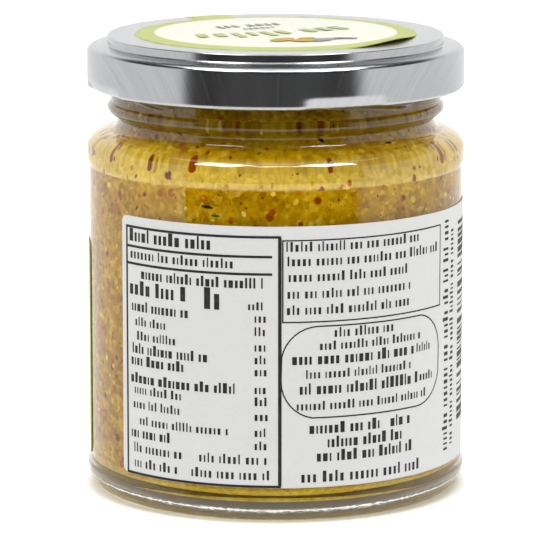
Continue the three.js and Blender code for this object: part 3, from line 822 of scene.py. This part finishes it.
def back_print(rng):
    """All the print of the back label as one sheet of thin closed ink marks."""
    f0, f1, g0, g1 = FACTS
    b0, b1, c0, c1 = BOX
    lines = rules([
        (f0, g1, f1, g1, LINE_W), (f0, g0, f1, g0, LINE_W), (f0, g0 + LINE_W, f0, g1 - LINE_W, LINE_W),
        (f1, g0 + LINE_W, f1, g1 - LINE_W, 1.4 * LINE_W), (f0 + LINE_W, 46.5, f1 - 1.5, 46.5, LINE_W),
        (f0 + LINE_W, 43.5, f1 - 1.5, 43.5, LINE_W), (b0, c1, b1, c1, 0.25), (b0, c0, b1, c0, 0.25),
        (b0, c0 + 0.25, b0, c1 - 0.25, 0.25), (b1, c0 + 0.25, b1, c1 - 0.25, 0.25)])
    blocks = []
    for row in FACT_ROWS + FIGURES + BOX_ROWS + ROUND_FRAME_ROWS + OPEN_ROWS:
        blocks += words(*row[:4], rng, row[4])
    for v in FIGURE_VS:
        blocks += words(*FIGURE_U, v, 1.1, rng)
    for u, low, high, height in SIDE_COLUMNS:
        upright = np.array(words(low, high, 0, height, rng))
        blocks += np.stack([u - upright[:, 1], upright[:, 0], upright[:, 2], upright[:, 3],
                            np.full(len(upright), 90)], axis=1).tolist()
    at = LADDER_V[0]
    while at < LADDER_V[1]:
        bar = rng.choice([0.33, 0.33, 0.66, 0.99])
        lines.append((sum(LADDER_U) / 2, at + bar / 2, (LADDER_U[1] - LADDER_U[0]) / 2, bar / 2, 0))
        at += bar + rng.choice([0.33, 0.33, 0.66, 0.99])
    frame_line = rule_frame(*ROUND_FRAME, ROUND_FRAME_CORNER, 0.25, on_glass)
    return joined(marks(lines, on_glass, 26), marks(blocks, on_glass), frame_line)


piece("back_label_print", *back_print(draw), ink("black_thermal_ink", "#1A1A1A", "#2C2C2C"), "white_paper",
      sharp=30)

# Front label: satin paper printed with a green border round a cream field, on the far side of the jar. Its
# print is plain: a ruled frame, a sprig with leaves and seeds, and bars in place of words.
FRONT_LABEL = (142, 278.5, 6.0, 44.2)
FRONT_BORDER = 3.2
FRONT_MIDDLE = (FRONT_LABEL[0] + FRONT_LABEL[1]) / 2
FRONT_V = (FRONT_LABEL[2] + FRONT_LABEL[3]) / 2


def front_paper():
    """Satin label paper with a printed green border and a cream field."""
    material, tree, out = new_material("satin_label_paper")
    flat = add(tree, "UVMap", uv_map="flat").outputs[0]
    half_u = np.radians(FRONT_LABEL[1] - FRONT_LABEL[0]) / 2 * LABEL_R
    middle = (np.radians(FRONT_MIDDLE) * LABEL_R, FRONT_V, 0)
    moved = add(tree, "VectorMath", {0: flat, 1: middle}, operation="SUBTRACT").outputs[0]
    from_middle = add(tree, "VectorMath", {0: moved}, operation="ABSOLUTE")
    sides = add(tree, "SeparateXYZ", {0: from_middle.outputs[0]})
    half_v = (FRONT_LABEL[3] - FRONT_LABEL[2]) / 2
    to_end = add(tree, "Math", {0: half_u, 1: sides.outputs["X"]}, operation="SUBTRACT")
    to_edge = add(tree, "Math", {0: half_v, 1: sides.outputs["Y"]}, operation="SUBTRACT")
    nearest = add(tree, "Math", {0: to_end.outputs[0], 1: to_edge.outputs[0]}, operation="MINIMUM")
    inside = add(tree, "MapRange", {0: nearest.outputs[0], 1: FRONT_BORDER - 0.06, 2: FRONT_BORDER + 0.06})
    fibre = add(tree, "TexNoise", {"Vector": flat, "Scale": 2.2, "Detail": 4, "Roughness": 0.7})
    green = add(tree, "ValToRGB", {0: fibre.outputs[0]}, stops=[(0.3, "#8F9A2E"), (0.7, "#99A43A")])
    cream = add(tree, "ValToRGB", {0: fibre.outputs[0]}, stops=[(0.3, "#F3F4E2"), (0.7, "#F8F8EA")])
    colour = add(tree, "MixRGB", {0: inside.outputs[0], 1: green.outputs[0], 2: cream.outputs[0]})
    grain = add(tree, "Bump", {"Strength": 0.15, "Distance": 0.03 * MM, "Height": fibre.outputs[0]})
    paper = add(tree, "BsdfPrincipled", {
        "Base Color": colour.outputs[0], "Roughness": 0.5, "Specular IOR Level": 0.35,
        "Normal": grain.outputs[0]})
    tree.links.new(paper.outputs[0], out.inputs["Surface"])
    return material


def on_front(u, v, above):
    """A point of the front label, u and v from its middle, wrapped on the glass."""
    return on_glass(u + np.radians(FRONT_MIDDLE) * LABEL_R, v + FRONT_V, above)


def sprig(size):
    """A sprig: a stem with three pairs of leaves that rise and shrink towards its tip. Rows for marks()."""
    steps = np.arange(3)
    leaf = size * (0.42 - 0.08 * steps)
    sides = np.array([-1, 1])[:, None]
    lean = 38 + 8 * steps
    u = sides * leaf * np.cos(np.radians(lean))
    v = size * (-0.55 + 0.5 * steps) + leaf * np.sin(np.radians(lean)) + 0 * sides
    turn = np.where(sides > 0, lean, 180 - lean)
    size_u = leaf + 0 * sides
    return np.stack([u, v, size_u, 0.36 * size_u, turn], axis=-1).reshape(-1, 5)


def moved(rows, u, v, turn=0):
    """Rows of marks turned about their middle and moved."""
    rows = np.array(rows, float)
    t = np.radians(turn)
    x = rows[:, 0] * np.cos(t) - rows[:, 1] * np.sin(t) + u
    y = rows[:, 0] * np.sin(t) + rows[:, 1] * np.cos(t) + v
    return np.stack([x, y, rows[:, 2], rows[:, 3], rows[:, 4] + turn], axis=1)


front_points, front_faces, front_flat = label_sheet(*FRONT_LABEL)
piece("front_label_paper", front_points, front_faces, front_paper(), "printed_paper", "front_label",
      uv=front_flat)
green_ink = ink("green_ink", "#7E8C2A", "#8B9836")
ochre_ink = ink("ochre_ink", "#B8963C", "#C8A850")
brown_ink = ink("brown_ink", "#5E4A2A", "#6B5632")
front_bars = np.array(words(-17, 17, -6.5, 2.6, draw, True) + words(-12, 12, -11.2, 1.4, draw))
front_line = rule_frame(-33.5, 33.5, -14.6, 14.6, 1.0, 0.3, on_front)
piece("front_label_lines", *joined(front_line, marks(front_bars, on_front)), brown_ink, "printed_paper")
MOTIF_V = 4.5  # middle of the sprig and of the ring of seeds round it
SEED_RING = (9.0, 6.4)
SEED_HALF_SIZE = (1.1, 0.95)
stem = [(0, 0.2, 6.6, 0.22, 90)]
leaf_marks = marks(moved(sprig(6.0), 0, MOTIF_V), on_front, 13, 1.0)
front_leaves = joined(leaf_marks, marks(moved(stem, 0, 3.4), on_front, 9, 0.2))
piece("front_label_leaves", *front_leaves, green_ink, "printed_paper")
seed_turn = np.arange(0, 360, 45)
seed_u = np.cos(np.radians(seed_turn)) * SEED_RING[0]
seed_v = np.sin(np.radians(seed_turn)) * SEED_RING[1] + MOTIF_V
seed_rows = np.stack(np.broadcast_arrays(seed_u, seed_v, *SEED_HALF_SIZE, seed_turn), axis=1)
piece("front_label_seeds", *marks(seed_rows, on_front, 11, 0.5), ochre_ink, "printed_paper")


# Print on the lid sticker: thin ink on the cream field. Pale green bars across the middle and grey ones towards
# the strip stand for words, and a few seeds lie on the other side.
ARC_R = 60


def on_sticker(u, v, above):
    """A point of the sticker's flat face, v away from the strip, at a height above the paper."""
    t = np.radians(STRIP_BEARING)
    x = u * np.cos(t) - v * np.sin(t)
    y = u * np.sin(t) + v * np.cos(t)
    return np.stack(np.broadcast_arrays(x, y, STICKER_Z + PAPER + above), axis=-1)


def round_arc(rows, radius):
    """Rows of marks set along a straight line, bent round an arc over the sticker's middle."""
    rows = np.array(rows, float)
    t = rows[:, 0] / radius
    r = radius + rows[:, 1]
    return np.stack([r * np.sin(t), r * np.cos(t), rows[:, 2], rows[:, 3], -np.degrees(t)], axis=1)


green_bars = moved(round_arc(words(-14, 15.5, 0, 4.2, draw), ARC_R), 0, -ARC_R)
grey_bars = np.array(words(-6, 8.5, -11.4, 2.4, draw) + words(-3, 4, -7.2, 1.5, draw))
grey_husks = [(-4.2, 11.8, 2.9, 0.9, -12), (-7.4, 12.4, 2.2, 0.8, -30), (-2.4, 13.6, 2.0, 0.7, 8)]
ochre_seeds = [(3.4, 9.6, 2.7, 1.7, 25), (0.4, 12.2, 2.5, 1.5, -15), (-1.2, 9.8, 1.7, 1.0, 5)]
grey_ink = ink("grey_ink", "#9A9C98", "#AAACA8")
pale_green_ink = ink("pale_green_ink", "#B2BB78", "#BEC788")
piece("sticker_green_bars", *marks(green_bars, on_sticker), pale_green_ink, "green_paper")
grey_marks = joined(marks(grey_bars, on_sticker), marks(grey_husks, on_sticker, 11, 0.5))
piece("sticker_grey_bars", *grey_marks, grey_ink, "green_paper")
piece("sticker_seeds", *marks(ochre_seeds, on_sticker, 11, 0.5), ochre_ink, "green_paper")

# Studio: a pale floor, white walls low all round but for a dark gap where the camera stands, a dark ceiling,
# and soft lamps high at the front left and right. A thin lamp and an overhead one show only in reflections.
FLOOR_R = 6000
NEAR_FLOOR_R = 50  # this much of the floor shows in the glass; further out its mirror image is the sky
GLOW_FROM = 31  # the paper glows, as if lit from below, all round the jar to stay white; under the jar the glow drops, a painted shadow
GLOW_TO = 36
GLOW = 0.75
GLOW_IN_PAINTED_SHADOW = 0.1
PAINTED_SHADOW_FROM = 31.5  # a painted shadow of the jar on the paper: its colour darkens towards the jar
PAINTED_SHADOW_TO = 36
CAMERA_AT = (-0.00012, -0.70296, 0.16683)
CAMERA_DOWN = 0.18218  # radians below level
LENS = 263.0
LAMP_DISTANCE = 1.0
GLINT_DISTANCE = 0.97
LAMP_BEARING = 48
LAMP_ELEVATION = 58
LAMP_SIZE = (0.38, 0.34)
LAMP_WATTS = 5.0
GLINT_WATTS = 9.0
STRIP_LIGHT_BEARING = 4
STRIP_LIGHT_SIZE = (0.42, 0.07)
STRIP_LIGHT_WATTS = 2.0
TOP_LIGHT_ELEVATION = 88
TOP_LIGHT_SIZE = (1.2, 0.8)
TOP_LIGHT_WATTS = 4.8
WALL_LIGHT = 1.3
DARK_LIGHT = 0.03
BELOW_LIGHT = 1.7
GAP_LEFT = (-58, -56)  # degrees over which each edge of the light fades
GAP_RIGHT = (47, 58)
FLOOR_EDGE = (-28, -20)
CEILING_EDGE = (28, 38)


def pale_floor():
    """White paper sweep: matt, glowing a little as if lit from below so that it stays white, and darker round
    and under the jar, where the glow drops and the colour darkens: a painted shadow.
    """
    material, tree, out = new_material("white_paper_sweep")
    place = add(tree, "TexCoord").outputs["Object"]
    from_jar = add(tree, "VectorMath", {0: place}, operation="LENGTH").outputs["Value"]
    # painted shadow: the glow drops towards and under the jar
    glow = add(tree, "MapRange", {0: from_jar, 1: GLOW_FROM * MM, 2: GLOW_TO * MM, 3: GLOW_IN_PAINTED_SHADOW, 4: GLOW},
               interpolation_type="SMOOTHSTEP")
    # painted shadow: the paper is painted darker near the jar
    shade = add(tree, "MapRange", {0: from_jar, 1: PAINTED_SHADOW_FROM * MM, 2: PAINTED_SHADOW_TO * MM},
                interpolation_type="SMOOTHSTEP")
    colour = add(tree, "MixRGB", {0: shade.outputs[0], 1: linear("#C6C0B4"), 2: linear("#F2F2F0")})
    sweep = add(tree, "BsdfPrincipled", {
        "Base Color": colour.outputs[0], "Roughness": 0.9, "Specular IOR Level": 0.0,
        "Emission Color": (1, 1, 1, 1), "Emission Strength": glow.outputs[0]})
    tree.links.new(sweep.outputs[0], out.inputs["Surface"])
    return material


sweep_paper = pale_floor()
for name, inner, outer in (("near_floor", 0, NEAR_FLOOR_R), ("far_floor", NEAR_FLOOR_R, FLOOR_R)):
    rings = turned(np.array([[outer, 0.0], [inner, 0.0]]), 64)
    floor_mesh = bpy.data.meshes.new(name)
    floor_mesh.from_pydata((rings.reshape(-1, 3) * MM).tolist(), [], grid_faces(*rings.shape[:2]).tolist())
    floor_mesh.materials.append(sweep_paper)
    floor = bpy.data.objects.new(name, floor_mesh)
    bpy.context.collection.objects.link(floor)
    floor.visible_glossy = name == "near_floor"

world = bpy.data.worlds.new("studio")
world.use_nodes = True
bpy.context.scene.world = world
sky = world.node_tree
sky.nodes.clear()
toward = add(sky, "SeparateXYZ", {0: add(sky, "TexCoord").outputs["Generated"]})
away = add(sky, "Math", {0: toward.outputs["Y"], 1: -1.0}, operation="MULTIPLY")
azimuth = add(sky, "Math", {0: toward.outputs["X"], 1: away.outputs[0]}, operation="ARCTAN2").outputs[0]
elevation = add(sky, "Math", {0: toward.outputs["Z"]}, operation="ARCSINE").outputs[0]


def faded(angle, edge, start=0.0, end=1.0):
    """A smooth step of an angle from one value to another, over an edge given in degrees."""
    low, high = np.radians(edge)
    return add(sky, "MapRange", {0: angle, 1: low, 2: high, 3: start, 4: end}, interpolation_type="SMOOTHSTEP")


left_edge = faded(azimuth, GAP_LEFT)
right_edge = faded(azimuth, GAP_RIGHT, 1.0, 0.0)
above_floor = faded(elevation, FLOOR_EDGE)
below_top = faded(elevation, CEILING_EDGE, 1.0, 0.0)
gap = add(sky, "Math", {0: left_edge.outputs[0], 1: right_edge.outputs[0]}, operation="MULTIPLY")
gap = add(sky, "Math", {0: gap.outputs[0], 1: above_floor.outputs[0]}, operation="MULTIPLY")
wall = add(sky, "Math", {0: 1.0, 1: gap.outputs[0]}, operation="SUBTRACT")
wall = add(sky, "Math", {0: wall.outputs[0], 1: below_top.outputs[0]}, operation="MULTIPLY")
light = add(sky, "MapRange", {0: wall.outputs[0], 3: DARK_LIGHT, 4: WALL_LIGHT})
light = add(sky, "MapRange", {0: above_floor.outputs[0], 3: BELOW_LIGHT, 4: light.outputs[0]})
seen = add(sky, "LightPath").outputs["Is Camera Ray"]
strength = add(sky, "MapRange", {0: seen, 3: light.outputs[0], 4: 1.0})
glow = add(sky, "Background", {"Color": (1, 1, 1, 1), "Strength": strength.outputs[0]})
add(sky, "OutputWorld", {"Surface": glow.outputs[0]})

lamps = [
    ("soft_lamp", -LAMP_BEARING, LAMP_ELEVATION, LAMP_SIZE, LAMP_WATTS, LAMP_DISTANCE),
    ("soft_lamp", LAMP_BEARING, LAMP_ELEVATION, LAMP_SIZE, LAMP_WATTS, LAMP_DISTANCE),
    ("glint", -LAMP_BEARING, LAMP_ELEVATION, LAMP_SIZE, GLINT_WATTS, GLINT_DISTANCE),
    ("glint", LAMP_BEARING, LAMP_ELEVATION, LAMP_SIZE, GLINT_WATTS, GLINT_DISTANCE),
    ("glint", STRIP_LIGHT_BEARING, LAMP_ELEVATION, STRIP_LIGHT_SIZE, STRIP_LIGHT_WATTS, GLINT_DISTANCE),
    ("glint", 0, TOP_LIGHT_ELEVATION, TOP_LIGHT_SIZE, TOP_LIGHT_WATTS, LAMP_DISTANCE)]
for name, bearing, elevation, size, watts, distance in lamps:
    turn = np.radians(bearing)
    rise = np.radians(elevation)
    aim = Vector((np.sin(turn) * np.cos(rise), -np.cos(turn) * np.cos(rise), np.sin(rise)))
    lamp_light = bpy.data.lights.new(name, "AREA")
    lamp_light.shape = "RECTANGLE"
    lamp_light.size, lamp_light.size_y = size
    lamp_light.energy = watts
    lamp = bpy.data.objects.new(name, lamp_light)
    lamp.location = aim * distance + Vector((0, 0, 0.04))
    lamp.rotation_euler = aim.to_track_quat("Z", "Y").to_euler()
    lamp.visible_camera = False
    lamp.visible_transmission = False
    lamp.visible_glossy = name == "glint"
    lamp.visible_diffuse = name == "soft_lamp"
    bpy.context.collection.objects.link(lamp)

view = bpy.data.cameras.new("camera")
view.lens = LENS
view.sensor_width = 36
view.clip_start = 0.01
view.clip_end = 50
camera = bpy.data.objects.new("camera", view)
camera.location = CAMERA_AT
camera.rotation_euler = (np.pi / 2 - CAMERA_DOWN, 0, 0)
bpy.context.collection.objects.link(camera)
bpy.context.scene.camera = camera
bpy.context.scene.view_settings.view_transform = "Standard"
